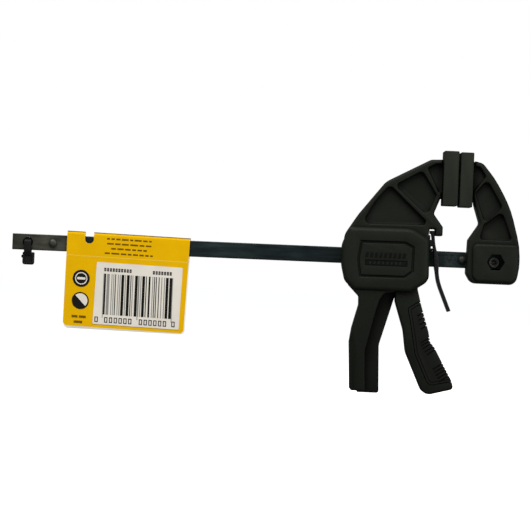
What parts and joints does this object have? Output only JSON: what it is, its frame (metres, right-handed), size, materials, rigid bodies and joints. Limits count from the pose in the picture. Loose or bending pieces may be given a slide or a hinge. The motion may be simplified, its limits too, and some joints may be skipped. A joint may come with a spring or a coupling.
{
  "type": "one-handed trigger bar clamp",
  "caption": "Small one-handed bar clamp: a sliding jaw with a squeeze trigger and release lever on a flat steel bar, closing its pad on a fixed jaw; a card tag hangs on the bar.",
  "frame": {"origin": "midway between the two closed pads, at their middle height, in the clamp's middle plane", "axes": "+X along the bar towards the fixed jaw, +Z from the bar towards the pads with the handles hanging down, -Y the front"},
  "size_m": [0.1899, 0.017, 0.0915],
  "materials": {
    "bar_steel": "blued, satin",
    "lever_steel": "blackened, satin",
    "bright_steel": "zinc plated",
    "black_plastic": "fine moulded texture",
    "pad": "matt",
    "soft_grip": "matt",
    "tie_plastic": "satin",
    "card": "coated card"
  },
  "bodies": {
    "bar_assembly": {"bar": "bar_steel", "rear_stop_pin": "bar_steel", "front_stop_pin": "bar_steel", "fixed_jaw": "black_plastic", "fixed_jaw_pad": "pad", "jaw_screw": "bright_steel", "hang_tag": "card"},
    "sliding_jaw": {"casing_front": "black_plastic", "casing_rear": "black_plastic", "moving_jaw_pad": "pad", "casing_screw_1": "bright_steel", "casing_screw_2": "bright_steel", "casing_screw_3": "bright_steel", "casing_screw_4": "bright_steel", "trigger_pivot_pin": "bright_steel", "drive_spring": "bright_steel", "brake_spring": "bright_steel"},
    "trigger": {"trigger": "black_plastic", "trigger_grip": "soft_grip"},
    "drive_plates": {"drive_plate_1": "bright_steel", "drive_plate_2": "bright_steel"},
    "release_lever": {"release_lever": "lever_steel"},
    "cable_tie": {"cable_tie": "tie_plastic"}
  },
  "joints": [
    {"name": "jaw_slide", "type": "slide", "parent": "bar_assembly", "child": "sliding_jaw", "axis": [-1, 0, 0], "range_m": [0, 0.1064], "deforming": ["hang_tag"]},
    {"name": "trigger_pivot", "type": "hinge", "parent": "sliding_jaw", "child": "trigger", "pos_m": [-0.0174, 0, -0.024], "axis": [0, 1, 0], "range_deg": [0, 12], "stiffness_Nm_per_rad": 0.2, "springref_deg": -17.19},
    {"name": "drive_plate_slide", "type": "slide", "parent": "sliding_jaw", "child": "drive_plates", "axis": [-1, 0, 0], "range_m": [0, 0.0016], "deforming": ["drive_spring"]},
    {"name": "release_lever_pivot", "type": "hinge", "parent": "sliding_jaw", "child": "release_lever", "pos_m": [-0.00885, 0, -0.0202], "axis": [0, 1, 0], "range_deg": [0, 7], "stiffness_Nm_per_rad": 0.02, "springref_deg": -17.19, "deforming": ["brake_spring"]},
    {"name": "cable_tie_swing", "type": "hinge", "parent": "bar_assembly", "child": "cable_tie", "pos_m": [-0.1602, 0, -0.03], "axis": [0, 1, 0], "range_deg": [-12, 12]}
  ],
  "couplings": [
    {"joint": "drive_plate_slide", "follows": "trigger_pivot", "m_per_rad": 0.0072}
  ]
}
